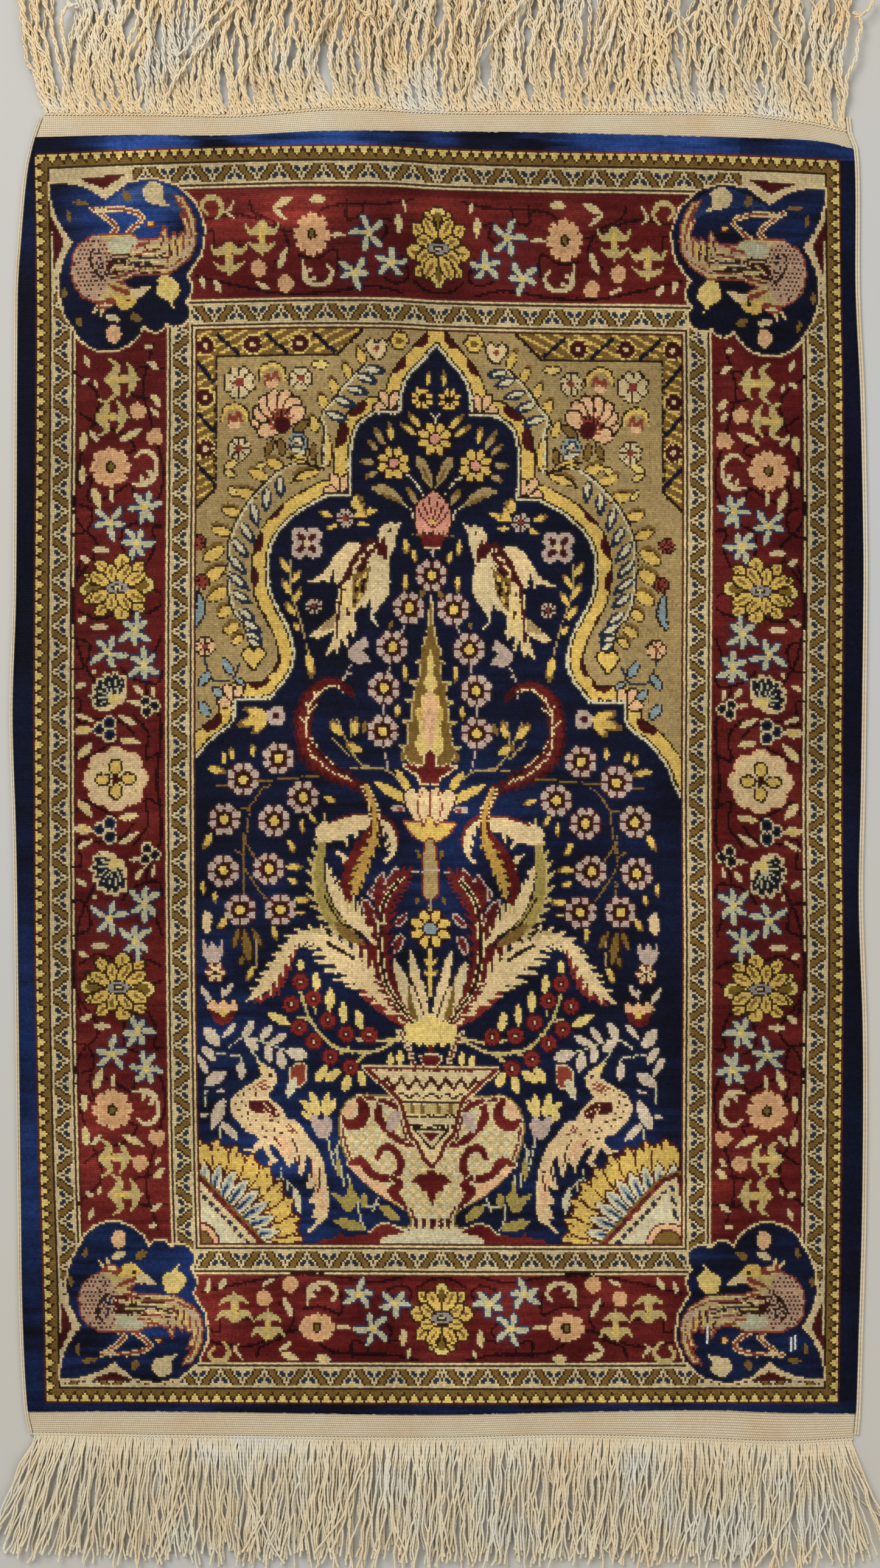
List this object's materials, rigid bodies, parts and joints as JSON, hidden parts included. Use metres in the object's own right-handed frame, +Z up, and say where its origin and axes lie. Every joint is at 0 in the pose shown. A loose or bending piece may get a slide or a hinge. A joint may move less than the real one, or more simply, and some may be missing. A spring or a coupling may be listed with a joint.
{
  "type": "hand-knotted silk prayer carpet",
  "caption": "Small flat silk carpet with a knotted pile, flat-woven ends, overcast side cords and a plied fringe at both ends.",
  "frame": {"origin": "under the middle of the whole carpet with its fringes, on the surface that it lies on", "axes": "+X across the carpet to its right as seen from above, +Y along it towards the point of the niche, +Z up out of the pile"},
  "size_m": [0.4286, 0.7812, 0.003],
  "materials": {
    "pile": "short sheared silk pile with a soft sheen, crimson, navy, gold and ivory",
    "kilim": "cream flat weave with fine ribs",
    "side_cord": "cream silk overcasting",
    "fringe": "cream plied silk warp ends"
  },
  "bodies": {
    "root": {"carpet_body": "pile", "selvedge_left": "side_cord", "selvedge_right": "side_cord", "fringe_top": "fringe", "fringe_bottom": "fringe"}
  },
  "joints": []
}
